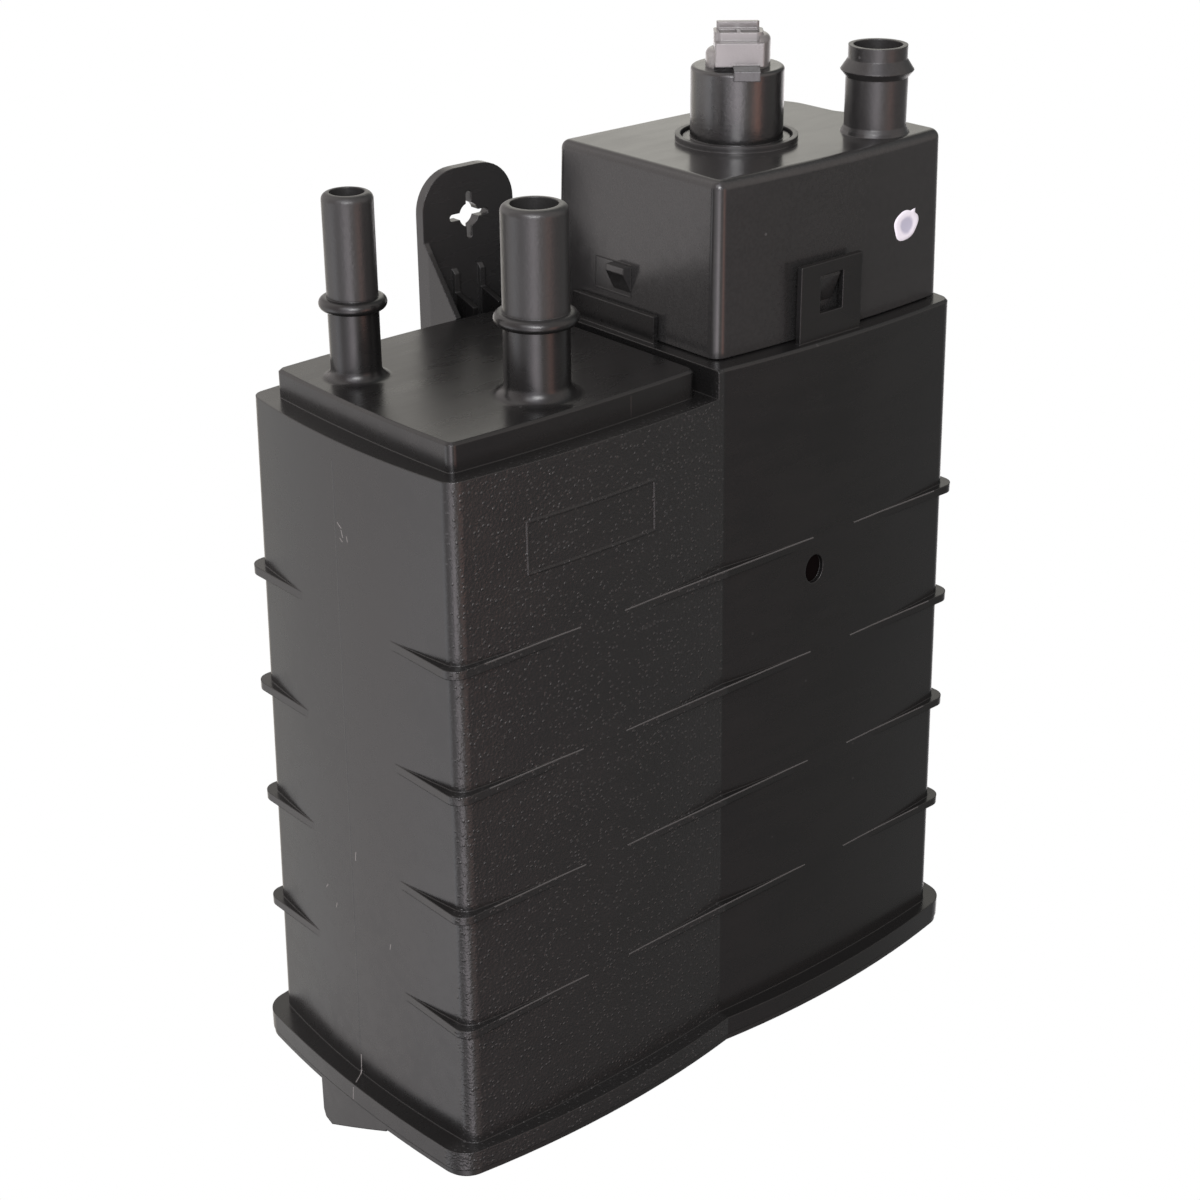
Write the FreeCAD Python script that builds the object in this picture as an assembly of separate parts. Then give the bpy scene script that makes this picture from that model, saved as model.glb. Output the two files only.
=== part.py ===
import FreeCAD, Part
import math
import os

# Charcoal canister with a vent valve box. Millimetres, +Z up.
# While it is modelled, x = 0 and y = 0 are the middle of the moulded body and z = 0 is the ground.
# save() moves every piece so that the origin is the middle of the whole outline.

# Heights, from the ground up
foot_drop = 12.3
cover_edge = 2.3
flange_depth = 5.4
wall_height = 174.8
step_height = 7.0

# Moulded body
top_half_x = 82.35
top_half_y = 38.9
corner_radius = 4.0
end_bow = 2.7
side_bow = 2.0
valley_out = 0.0
draft = 0.014
wall = 2.5
edge_break = 0.6
partition = 2.5
passage_height = 12.0
step_x = -1.9

# Ribs round the body
rib_first_height = 32.6
rib_pitch = 32.0
rib_count = 4
rib_thickness = 2.2
rib_out_x = 2.0
rib_out_y = 1.7

# Foot flange of the body and the edge of the bottom cover
flange_out_x = 5.2
flange_out_y = 2.7
flange_radius = 7.5
flange_end_bow = 2.1
flange_side_bow = 3.2
flange_valley = 0.8
cover_inset = 0.3

# Pad under the two hose ports
pad_left_inset = 4.15
pad_right = 4.7
pad_front_inset = 4.7
pad_back_inset = 5.7
pad_radius = 2.0
pad_bow = 1.1

# Hose ports: small one and large one
small_inset_x = 15.6
small_inset_y = 22.9
small_radius = 6.0
small_flare = 2.4
small_bead = 2.0
small_bead_height = 18.0
small_length = 43.9
small_bore = 4.05
large_inset_x = 39.15
large_inset_y = 16.9
large_radius = 7.75
large_flare = 3.1
large_bead = 2.1
large_bead_height = 18.4
large_length = 44.5
large_bore = 5.5
bead_thickness = 3.0
tip_round = 1.6

# Mounting tab at the back
tab_left = 23.3
tab_width = 29.1
tab_stand_off = 7.5
tab_thickness = 2.8
tab_above_step = 34.3
tab_below_step = 46.0
tab_corner = 10.5
tab_hole_x = -8.6
tab_hole_down = 12.7
tab_hole_radius = 3.1
tab_slot_half = 6.2
tab_slot_width = 1.8
gusset_thickness = 1.6
gusset_foot_inset = 4.8
outer_gusset_drop = 17.6
inner_gusset_drop = 25.8
inner_gusset_spacing = 8.3
inner_gusset_foot_inset = 0.9
inner_gusset_shift = 1.0
inner_gusset_lip = 1.2
inner_gusset_straight = 6.0

# Small features of the body
fence_x = 0.1
fence_thickness = 1.5
fence_front = -13.9
fence_back = 16.0
fence_height = 6.8
strap_left = 25.6
strap_width = 21.3
strap_inset = 0.3
strap_thickness = 1.5
strap_height = 19.3
strap_window_margin = 6.7
strap_window_low = 6.6
strap_window_height = 9.5
frame_left = -62.4
frame_width = 38.7
frame_low = 168.0
frame_height = 13.2
frame_line = 0.6
frame_proud = 0.25
dimple_x = 30.6
dimple_z = 141.9
dimple_width = 6.2
dimple_height = 7.7
dimple_depth = 1.2

# Bottom cover
locating_rib = 2.0
locating_rib_height = 6.0
cup_x = 42.0
cup_y = 5.0
cup_radius = 18.0
cup_wall = 2.5
lug_back = 14.3
lug_front = -14.3
lug_low_y = 10.6
lug_depth = 12.0
lug_corner = 3.0

# Inside of the two chambers
fit_gap = 0.3
bed_low = 52.0
bed_head_room = 15.8
filter_thickness = 3.0
plate_thickness = 3.0
plate_skirt = 8.0
plate_slot = 3.0
plate_slot_pitch = 9.0
plate_slot_margin = 11.0
ceiling_rib = 2.0
ceiling_rib_pitch = 18.0
ceiling_rib_half = 26.0
coil_radius = 13.2
coil_wire = 0.9
coil_turns = 4.5

# Vent box
seam = 0.3
box_left = 2.1
box_front_inset = 5.0
box_right_out = 0.15
box_back_inset = 13.2
box_height = 43.0
box_wall = 2.2
box_draft = 0.021
box_bow = 1.6
box_corner = 3.2
box_right_corner = 4.2
box_back_corner = 14.5
box_step = 4.2
box_step_y = -5.4
box_step_radius = 6.0
box_step_share = 0.95
box_top_round = 2.2
box_foot_width = 4.4
box_foot_height = 3.0
groove_inset = 1.4
groove_width = 1.6
groove_depth = 1.2
seal_gap = 0.1

# Latch wedges of the vent box
front_wedge_width = 7.0
front_wedge_height = 7.4
front_wedge_out = 2.6
front_wedge_lip = 0.8
side_wedge_y = -0.1
side_wedge_lip = 1.6
side_wedge_width = 6.3
side_wedge_low = 10.0
side_wedge_height = 6.6
side_wedge_out = 2.6

# Hose barb on the vent box
barb_inset_x = 15.8
barb_inset_y = 11.2
barb_radius = 7.75
barb_bore = 6.1
barb_flare = 0.9
barb_length = 21.5
barb_ring = 1.4
barb_ring_height = 15.5
barb_ring_low = 1.7
barb_cone = 2.7
barb_tip_radius = 7.35

# Valve: seat on the body, solenoid in the vent box
valve_x = 35.6
valve_y = -5.2
neck_bore = 7.0
neck_wall = 1.5
neck_height = 12.0
valve_travel = 2.35
stop_gap = 0.05
seal_disc_radius = 8.6
seal_disc_thickness = 2.2
collar_radius = 15.2
collar_wall = 1.3
collar_height = 1.5
hole_gap = 0.7
holder_flange = 1.8
holder_flange_height = 0.8

# Solenoid
holder_radius = 11.5
holder_top = 18.2
holder_above_seat = 7.2
holder_round = 0.9
can_gap = 0.05
can_radius = 10.0
can_wall = 0.9
can_plate = 1.2
can_cover = 4.1
holder_lip = 1.6
end_plate = 1.6
core_radius = 4.98
core_length = 12.4
running_gap = 0.07
bobbin_bore = 5.0
bobbin_wall = 0.8
bobbin_flange = 1.2
winding_build = 2.9
stem_radius = 1.5
stem_gap = 0.07
spring_pocket_radius = 3.2
spring_pocket_depth = 5.5
spring_wire = 0.35
spring_turns = 5
stem_shoulder = 3.0
stem_shoulder_height = 0.8
stem_head = 2.3
stem_head_height = 0.6
plunger_head_room = 2.2
ring_wire = 0.64
ring_below = 1.6

# Connector on the solenoid
connector_turn = -41.0
tower_radius = 7.9
tower_height = 4.2
tower_side_height = 7.7
tower_round = 1.6
block_width = 12.0
block_front = 7.4
block_depth = 3.4
block_low = 0.9
block_height = 5.6
shroud_width = 12.0
shroud_front = 4.0
shroud_depth = 7.6
shroud_height = 8.4
shroud_radius = 1.8
socket_width = 4.3
socket_depth = 4.4
socket_drop = 5.0
socket_rib = 1.1
rim_width = 10.4
rim_depth = 1.8
rim_height = 10.0
ramp_width = 6.4
ramp_x = 1.6
ramp_out = 0.8
ramp_drop = 3.6
ramp_rise = 2.0
blade_width = 2.2
blade_thickness = 0.8
blade_up = 3.6
blade_root = 2.5

# Places that follow from the sizes above
joint_z = foot_drop + cover_edge
flange_top = joint_z + flange_depth
low_top = flange_top + wall_height
high_top = low_top + step_height
ground_reach = 1.0
far = 200.0
small_angle_rounds = 6
level_gap = 0.01
flange_half_x = top_half_x + draft * wall_height + flange_out_x
flange_half_y = top_half_y + draft * wall_height + flange_out_y
whole_front = flange_half_y + flange_side_bow
tab_face_y = top_half_y + tab_stand_off
whole_back = tab_face_y + tab_thickness
shift_y = (whole_front - whole_back) / 2
pad_left = top_half_x - pad_left_inset
pad_front = top_half_y - pad_front_inset
pad_back = top_half_y - pad_back_inset
small_x = small_inset_x - top_half_x
small_y = top_half_y - small_inset_y
large_x = large_inset_x - top_half_x
large_y = large_inset_y - top_half_y
gusset_foot_y = top_half_y - gusset_foot_inset
inner_gusset_foot_y = top_half_y - inner_gusset_foot_inset
strap_face_y = strap_inset - top_half_y
bed_high = high_top - bed_head_room
box_front = box_front_inset - top_half_y
box_right = top_half_x + box_right_out
box_back = top_half_y - box_back_inset
barb_x = box_right - barb_inset_x
barb_y = box_front + barb_inset_y
box_low = high_top + seam
box_top = high_top + box_height
seat_z = high_top + neck_height
holder_low = seat_z + holder_above_seat
can_low = holder_low + holder_lip
core_top = can_low + core_length
plunger_low = core_top + valve_travel + stop_gap
disc_low = seat_z + valve_travel + 2 * stop_gap
holder_high = box_top + holder_top
can_high = holder_high - can_cover
plunger_length = can_high - can_plate - plunger_low - plunger_head_room


def point(x, y, z):
    return FreeCAD.Vector(x, y, z)


def line(start, end):
    return Part.LineSegment(start, end).toShape()


def arc(start, middle, end):
    return Part.Arc(start, middle, end).toShape()


def unit(angle):
    return point(math.cos(angle), math.sin(angle), 0)


def smooth_loop(stations, z):
    """A closed loop of bowed sides and rounded corners that meet smoothly.

    Each station is (x, y, corner radius, bow of the side after it), anticlockwise from above.
    """
    count = len(stations)
    spots = [point(station[0], station[1], z) for station in stations]
    headings = []
    for index in range(count):
        along = spots[(index + 1) % count] - spots[index]
        headings.append(math.atan2(along.y, along.x))
    turns = []
    for index in range(count):
        turn = headings[index] - headings[index - 1]
        turns.append(math.atan2(math.sin(turn), math.cos(turn)))
    cut_backs = [stations[index][2] * math.tan(abs(turns[index]) / 2) for index in range(count)]
    tilts = []
    for index in range(count):
        after = (index + 1) % count
        chord = (spots[after] - spots[index]).Length - cut_backs[index] - cut_backs[after]
        tilt = 0.0
        for _ in range(small_angle_rounds):
            reach = chord + (stations[index][2] + stations[after][2]) * math.sin(tilt)
            tilt = 2 * math.atan(2 * stations[index][3] / reach)
        tilts.append(tilt)
    edges = []
    leaving = []
    arriving = []
    for index in range(count):
        radius = stations[index][2]
        if radius == 0:
            arriving.append(spots[index])
            leaving.append(spots[index])
            continue
        way_in = headings[index - 1]
        side = 1 if turns[index] > 0 else -1
        centre = spots[index] - unit(way_in) * cut_backs[index] + unit(way_in + math.pi / 2) * (side * radius)
        start = way_in + side * (tilts[index - 1] - math.pi / 2)
        sweep = turns[index] - side * (tilts[index - 1] + tilts[index])
        marks = [centre + unit(start + sweep * share) * radius for share in (0, 0.5, 1)]
        edges.append(arc(marks[0], marks[1], marks[2]))
        arriving.append(marks[0])
        leaving.append(marks[2])
    for index in range(count):
        start = leaving[index]
        end = arriving[(index + 1) % count]
        if tilts[index] == 0:
            edges.append(line(start, end))
        else:
            out = (end - start).Length / 2 * math.tan(tilts[index] / 2)
            middle = (start + end) * 0.5 + unit(headings[index] - math.pi / 2) * out
            edges.append(arc(start, middle, end))
    return Part.Wire(Part.__sortEdges__(edges))


def lobed_outline(half_x, half_y, radius, out_end, out_side, valley, z):
    """A rounded rectangle with bowed ends and two shallow lobes along each wide side."""
    dip = half_y + valley
    return smooth_loop([
        (-half_x, -half_y, radius, out_side),
        (0, -dip, 0, out_side),
        (half_x, -half_y, radius, out_end),
        (half_x, half_y, radius, out_side),
        (0, dip, 0, out_side),
        (-half_x, half_y, radius, out_end),
    ], z)


def loft(*wires):
    return Part.makeLoft(list(wires), True, True)


def prism(wire, height):
    return Part.Face(wire).extrude(point(0, 0, height))


def block(x_low, x_high, y_low, y_high, z_low, z_high):
    size = (x_high - x_low, y_high - y_low, z_high - z_low)
    return Part.makeBox(size[0], size[1], size[2], point(x_low, y_low, z_low))


def rod(x, y, radius, z_low, z_high):
    return Part.makeCylinder(radius, z_high - z_low, point(x, y, z_low))


def tube(x, y, inner, outer, z_low, z_high):
    return rod(x, y, outer, z_low, z_high).cut(rod(x, y, inner, z_low, z_high))


def turned(x, y, profile):
    """A solid turned about the upright line at x, y from (radius, height) points and arc middles."""
    edges = []
    count = len(profile)
    index = 0
    while index < count:
        start = profile[index]
        if len(profile[(index + 1) % count]) == 3:
            middle = profile[(index + 1) % count]
            end = profile[(index + 2) % count]
            edges.append(arc(point(start[0], 0, start[1]), point(middle[0], 0, middle[1]),
                             point(end[0], 0, end[1])))
            index += 2
        else:
            end = profile[(index + 1) % count]
            edges.append(line(point(start[0], 0, start[1]), point(end[0], 0, end[1])))
            index += 1
    solid = Part.Face(Part.Wire(edges)).revolve(point(0, 0, 0), point(0, 0, 1), 360)
    solid.translate(point(x, y, 0))
    return solid


def arc_middle(centre, radius, angle):
    """The middle of a quarter arc in a turned profile, marked as such by its third value."""
    along = math.radians(angle)
    return (centre[0] + radius * math.cos(along), centre[1] + radius * math.sin(along), True)


def plate_in_yz(corners, x_low, thickness):
    """A flat plate of constant x, from its (y, z) corners."""
    loop = [point(x_low, y, z) for y, z in corners]
    loop.append(loop[0])
    return Part.Face(Part.makePolygon(loop)).extrude(point(thickness, 0, 0))


def body_outline(inset, z):
    lean = draft * (low_top - z)
    radius = max(corner_radius - inset, edge_break)
    return lobed_outline(top_half_x + lean - inset, top_half_y + lean - inset, radius,
                         end_bow, side_bow, valley_out, z)


def wall_y(z):
    """Half depth of the body at its corners, at height z."""
    return top_half_y + draft * (low_top - z)


def flange_outline(inset, z):
    return lobed_outline(flange_half_x - inset, flange_half_y - inset, flange_radius - inset,
                         flange_end_bow, flange_side_bow, flange_valley, z)


def pad_outline(inset, z):
    left = -pad_left + inset
    right = -pad_right - inset
    front = -pad_front + inset
    back = pad_back - inset
    radius = pad_radius - inset / 2
    return smooth_loop([
        (left, front, radius, pad_bow),
        (right, front, radius, 0),
        (right, back, radius, pad_bow),
        (left, back, radius, pad_bow),
    ], z)


def chamber(side, inset, z_low, z_high):
    """The space of one chamber, side -1 under the hose ports and 1 under the vent box."""
    space = loft(body_outline(wall + inset, z_low), body_outline(wall + inset, z_high))
    near = partition / 2 + inset
    if side < 0:
        keep = block(-far, -near, -far, far, z_low, z_high)
    else:
        keep = block(near, far, -far, far, z_low, z_high)
    return space.common(keep)


def hose_port(x, y, radius, flare, bead, bead_height, length, floor):
    """A quick connector end: flared root, tube, bead and rounded tip."""
    top = floor + length
    bead_low = floor + bead_height - bead_thickness / 2
    bead_high = bead_low + bead_thickness
    bead_side = bead - bead_thickness / 2
    tip = (radius - tip_round, top - tip_round)
    root = (radius + flare, floor + flare)
    profile = [
        (0, floor - wall / 2),
        (radius + flare, floor - wall / 2),
        (radius + flare, floor),
        arc_middle(root, flare, 225),
        (radius, floor + flare),
        (radius, bead_low),
        (radius + bead_side, bead_low),
        arc_middle((radius + bead_side, bead_low + bead_thickness / 2), bead_thickness / 2, 0),
        (radius + bead_side, bead_high),
        (radius, bead_high),
        (radius, top - tip_round),
        arc_middle(tip, tip_round, 45),
        (radius - tip_round, top),
        (0, top),
    ]
    return turned(x, y, profile)


def make_tab():
    """The mounting plate behind the body, with its cross hole and gussets."""
    left = -tab_left
    right = left + tab_width
    top = high_top + tab_above_step
    low = high_top - tab_below_step
    face = tab_face_y
    edges = [
        line(point(left, face, low), point(right, face, low)),
        line(point(right, face, low), point(right, face, top - tab_corner)),
        arc(point(right, face, top - tab_corner),
            point(right - tab_corner * (1 - math.sqrt(0.5)), face, top - tab_corner * (1 - math.sqrt(0.5))),
            point(right - tab_corner, face, top)),
        line(point(right - tab_corner, face, top), point(left + tab_corner, face, top)),
        arc(point(left + tab_corner, face, top),
            point(left + tab_corner * (1 - math.sqrt(0.5)), face, top - tab_corner * (1 - math.sqrt(0.5))),
            point(left, face, top - tab_corner)),
        line(point(left, face, top - tab_corner), point(left, face, low)),
    ]
    plate = Part.Face(Part.Wire(edges)).extrude(point(0, tab_thickness, 0))
    hole_z = top - tab_hole_down
    through = tab_thickness + 2 * ground_reach
    start_y = face - ground_reach
    hole = Part.makeCylinder(tab_hole_radius, through, point(tab_hole_x, start_y, hole_z), point(0, 1, 0))
    half = tab_slot_width / 2
    reach = tab_slot_half - half
    across = block(tab_hole_x - reach, tab_hole_x + reach, start_y, start_y + through,
                   hole_z - half, hole_z + half)
    upright = block(tab_hole_x - half, tab_hole_x + half, start_y, start_y + through,
                    hole_z - reach, hole_z + reach)
    cross = hole.fuse([across, upright])
    for tip_x, tip_z in ((reach, 0), (-reach, 0), (0, reach), (0, -reach)):
        tip = Part.makeCylinder(half, through, point(tab_hole_x + tip_x, start_y, hole_z + tip_z),
                                point(0, 1, 0))
        cross = cross.fuse(tip)
    plate = plate.cut(cross)
    webs = [
        make_gusset(left, top - outer_gusset_drop, gusset_foot_y, low_top, low),
        make_gusset(right - gusset_thickness, top - outer_gusset_drop, gusset_foot_y, high_top, low),
    ]
    middle = (left + right - gusset_thickness) / 2 - inner_gusset_shift
    for side in (-1, 1):
        x = middle + side * inner_gusset_spacing / 2
        webs.append(make_gusset(x, top - inner_gusset_drop, inner_gusset_foot_y, low_top, low,
                                inner_gusset_lip))
    return plate.fuse(webs)


def make_gusset(x_low, apex, foot_y, floor, low, lip=0):
    """A web between the tab and the body: it slopes forward above the top and closes the gap below it.

    With a lip it first runs straight down, that far in front of the tab.
    """
    sink = wall / 2
    inside = wall / 8
    corners = [(tab_face_y, apex)]
    if lip > 0:
        corners.append((tab_face_y - lip, apex - lip))
        corners.append((tab_face_y - lip, apex - inner_gusset_straight))
    corners += [
        (foot_y, high_top),
        (foot_y, floor - sink),
        (wall_y(floor) - sink, floor - sink),
        (wall_y(low) - inside, low + tab_thickness),
        (tab_face_y, low),
    ]
    return plate_in_yz(corners, x_low, gusset_thickness)


def make_strap():
    """The upright strap whose window catches the front wedge of the vent box."""
    sink = wall / 2
    right = strap_left + strap_width
    plate = block(strap_left, right, strap_face_y, strap_face_y + strap_thickness,
                  high_top - sink, high_top + strap_height)
    window_low = high_top + strap_window_low
    window = block(strap_left + strap_window_margin, right - strap_window_margin,
                   strap_face_y - ground_reach, strap_face_y + strap_thickness + ground_reach,
                   window_low, window_low + strap_window_height)
    return plate.cut(window)


def make_body():
    """The moulded body: two chambers, ribs, foot flange, pad, hose ports, valve neck and tab."""
    shell = loft(body_outline(0, joint_z), body_outline(0, high_top - edge_break),
                 body_outline(edge_break, high_top))
    shell = shell.cut(block(-far, step_x, -far, far, low_top, high_top + ground_reach))
    solids = []
    for index in range(rib_count):
        z = flange_top + rib_first_height + index * rib_pitch
        lean = draft * (low_top - z)
        rib = lobed_outline(top_half_x + lean + rib_out_x, top_half_y + lean + rib_out_y,
                            corner_radius, 0, 0, 0, z)
        solids.append(prism(rib, rib_thickness))
    solids.append(prism(flange_outline(0, joint_z), flange_depth))
    solids.append(loft(pad_outline(0, low_top - wall / 2), pad_outline(0, high_top - edge_break),
                       pad_outline(edge_break, high_top)))
    solids.append(hose_port(small_x, small_y, small_radius, small_flare, small_bead,
                            small_bead_height, small_length, high_top))
    solids.append(hose_port(large_x, large_y, large_radius, large_flare, large_bead,
                            large_bead_height, large_length, high_top))
    solids.append(rod(valve_x, valve_y, neck_bore + neck_wall, high_top - wall / 2, seat_z))
    solids.append(block(fence_x, fence_x + fence_thickness, fence_front, fence_back,
                        high_top - wall / 2, high_top + fence_height))
    solids.append(make_strap())
    solids.append(make_label_frame())
    body = shell.fuse(solids)

    cavities = [
        chamber(-1, 0, joint_z - ground_reach, low_top - wall),
        chamber(1, 0, joint_z - ground_reach, high_top - wall),
        loft(pad_outline(wall, low_top - 2 * wall), pad_outline(wall, high_top - wall)),
        rod(small_x, small_y, small_bore, high_top - 2 * wall, high_top + small_length + ground_reach),
        rod(large_x, large_y, large_bore, high_top - 2 * wall, high_top + large_length + ground_reach),
        rod(valve_x, valve_y, neck_bore, high_top - 2 * wall, seat_z + ground_reach),
        block(-partition, partition, -top_half_y / 2, top_half_y / 2,
              joint_z - ground_reach, joint_z + passage_height),
        make_dimple(),
    ]
    for cavity in cavities:
        body = body.cut(cavity)
    body = body.fuse(make_ceiling_ribs() + [make_tab()])
    return body.removeSplitter()


def make_label_frame():
    """A thin raised rectangle on the front wall."""
    z_low = frame_low
    z_high = z_low + frame_height
    right = frame_left + frame_width
    outer = block(frame_left, right, -far, -top_half_y / 2, z_low, z_high)
    inner = block(frame_left + frame_line, right - frame_line, -far, 0,
                  z_low + frame_line, z_high - frame_line)
    skin = loft(body_outline(-frame_proud, z_low - ground_reach),
                body_outline(-frame_proud, z_high + ground_reach))
    return outer.cut(inner).common(skin)


def make_dimple():
    """A shallow oval recess in the front wall."""
    oval = Part.Ellipse(point(0, 0, 0), dimple_height / 2, dimple_width / 2).toShape()
    face = Part.Face(Part.Wire([oval]))
    solid = face.extrude(point(0, 0, far))
    solid.rotate(point(0, 0, 0), point(0, 0, 1), 90)
    solid.rotate(point(0, 0, 0), point(1, 0, 0), 90)
    front = wall_y(dimple_z) + side_bow - dimple_depth
    solid.translate(point(dimple_x, -front, dimple_z))
    return solid


def make_ceiling_ribs():
    """Webs under the roof of each chamber that hold the top filter pad down."""
    ribs = []
    roof = high_top - wall / 2
    for side in (-1, 1):
        x = ceiling_rib_pitch
        while x < top_half_x - wall - ceiling_rib_pitch / 3:
            low_x = side * x - ceiling_rib / 2
            rib = block(low_x, low_x + ceiling_rib, -ceiling_rib_half, ceiling_rib_half,
                        bed_high + filter_thickness, roof)
            reach = neck_bore + neck_wall if side > 0 else large_bore
            hole_x = valve_x if side > 0 else large_x
            hole_y = valve_y if side > 0 else large_y
            rib = rib.cut(rod(hole_x, hole_y, reach, bed_high, roof + ground_reach))
            if side < 0:
                rib = rib.cut(rod(small_x, small_y, small_bore, bed_high, roof + ground_reach))
            ribs.append(rib)
            x += ceiling_rib_pitch
    return ribs


def make_cover():
    """The bottom cover: welded edge, locating rib, two spring cups and the lug on the left end."""
    plate = loft(flange_outline(cover_inset + edge_break, foot_drop),
                 flange_outline(cover_inset, foot_drop + edge_break),
                 flange_outline(cover_inset, joint_z))
    inset = wall + fit_gap
    rib_top = joint_z + locating_rib_height
    outer = loft(body_outline(inset, joint_z - cover_edge / 2), body_outline(inset, rib_top))
    inner = loft(body_outline(inset + locating_rib, joint_z - cover_edge),
                 body_outline(inset + locating_rib, rib_top))
    notch = partition / 2 + fit_gap
    rib = outer.cut(inner).cut(block(-notch, notch, -far, far, joint_z, rib_top))
    cups = []
    hollows = []
    for side in (-1, 1):
        x = side * cup_x
        cups.append(rod(x, cup_y, cup_radius, 0, joint_z))
        hollows.append(rod(x, cup_y, cup_radius - cup_wall, cup_wall, joint_z + ground_reach))
    cover = plate.fuse([rib, make_lug()] + cups)
    for hollow in hollows:
        cover = cover.cut(hollow)
    return cover.removeSplitter()


def make_lug():
    """The lug that hangs from the left end of the cover, flush with its edge."""
    corners = [
        (lug_back, joint_z - cover_edge / 2),
        (lug_back, lug_corner),
        (lug_back - lug_corner * (1 - math.sqrt(0.5)), lug_corner * (1 - math.sqrt(0.5))),
        (lug_low_y, 0),
        (lug_front, foot_drop),
        (lug_front, joint_z - cover_edge / 2),
    ]
    left = -flange_half_x - flange_end_bow
    lug = plate_in_yz(corners, left - ground_reach, lug_depth)
    return lug.common(prism(flange_outline(cover_inset, 0), joint_z))


def make_bed(side):
    return chamber(side, fit_gap, bed_low, bed_high)


def make_top_filter(side):
    return chamber(side, fit_gap, bed_high, bed_high + filter_thickness)


def make_low_filter(side):
    return chamber(side, fit_gap, bed_low - filter_thickness, bed_low)


def chamber_block(side, inset, z_low, z_high):
    """An upright block that fits one chamber all the way from z_low to z_high."""
    outline = body_outline(wall + inset + draft * (z_high - z_low), z_low)
    near = partition / 2 + inset
    if side < 0:
        keep = block(-far, -near, -far, far, z_low, z_high)
    else:
        keep = block(near, far, -far, far, z_low, z_high)
    return prism(outline, z_high - z_low).common(keep)


def make_press_plate(side):
    """The slotted plate with a skirt that the spring presses up against the carbon."""
    top = bed_low - filter_thickness
    low = top - plate_thickness - plate_skirt
    plate = chamber_block(side, 2 * fit_gap, low, top)
    shrink = 2 * fit_gap + plate_thickness + draft * plate_thickness
    plate = plate.cut(chamber_block(side, shrink, low, top - plate_thickness))
    x = partition / 2 + plate_slot_margin
    while x < top_half_x - wall - plate_slot_margin:
        middle = side * x
        reach = top_half_y - plate_slot_margin
        low_x = middle - plate_slot / 2
        bars = ((-reach, cup_y - coil_radius - plate_slot), (cup_y + coil_radius + plate_slot, reach))
        if abs(x - cup_x) > coil_radius + plate_slot:
            bars = ((-reach, reach),)
        for y_low, y_high in bars:
            plate = plate.cut(block(low_x, low_x + plate_slot, y_low, y_high, low, top + ground_reach))
        x += plate_slot_pitch
    return plate.removeSplitter()


def make_coil(x, y, radius, wire, turns, z_low, z_high):
    """A round wire spring between two heights."""
    height = z_high - z_low - 2 * wire
    path = Part.makeHelix(height / turns, height, radius)
    start = Part.Circle(point(radius, 0, 0), point(0, 1, 0), wire).toShape()
    coil = Part.Wire(path).makePipeShell([Part.Wire([start])], True, True)
    coil.translate(point(x, y, z_low + wire))
    return coil


def make_bed_spring(side):
    top = bed_low - filter_thickness - plate_thickness
    return make_coil(side * cup_x, cup_y, coil_radius, coil_wire, coil_turns,
                     cup_wall + stop_gap, top - stop_gap)


def box_outline(inset, z):
    """The vent box in plan, with the jog in its right side and one large back corner."""
    left = box_left + inset
    front = box_front + inset
    right = box_right - inset
    back = box_back - inset
    jog_y = box_step_y - inset * math.tan(math.pi / 8)
    jog_radius = min(box_step_radius, box_step_share * box_step * math.sqrt(0.5) / math.tan(math.pi / 8))
    return smooth_loop([
        (left, front, box_corner - inset / 2, box_bow),
        (right, front, box_right_corner - inset / 2, 0),
        (right, jog_y, jog_radius - inset / 2, 0),
        (right - box_step, jog_y + box_step, jog_radius + inset / 2, 0),
        (right - box_step, back, box_back_corner - inset / 2, 0),
        (left, back, box_corner - inset / 2, 0),
    ], z)


def box_inset(z):
    """How far the drafted wall of the vent box leans in at height z."""
    return box_draft * (z - box_low)


def box_solid(inset, z_low, z_high):
    return loft(box_outline(inset + box_inset(z_low), z_low), box_outline(inset + box_inset(z_high), z_high))


def top_edges(solid, z):
    """The edges of a solid that lie wholly at height z."""
    found = []
    for edge in solid.Edges:
        box = edge.BoundBox
        if abs(box.ZMin - z) < level_gap and abs(box.ZMax - z) < level_gap:
            found.append(edge)
    return found


def make_wedge(width, height, out, lip):
    """A latch wedge that leans out of the plane y = 0 towards -y, from z = 0 up to its upright lip."""
    root = box_wall / 2
    corners = [(root, 0), (0, 0), (-out, height - lip), (-out, height), (root, height)]
    return plate_in_yz(corners, -width / 2, width)


def make_barb():
    """The hose barb on top of the vent box."""
    ring_z = box_top + barb_ring_height
    top = box_top + barb_length
    profile = [
        (0, box_top - box_wall / 2),
        (barb_radius + barb_flare, box_top - box_wall / 2),
        (barb_radius + barb_flare, box_top),
        (barb_radius, box_top + barb_flare * 2),
        (barb_radius, ring_z - barb_ring_low),
        (barb_radius + barb_ring, ring_z),
        (barb_tip_radius, ring_z + barb_cone),
        (barb_tip_radius, top),
        (0, top),
    ]
    return turned(barb_x, barb_y, profile)


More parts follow.
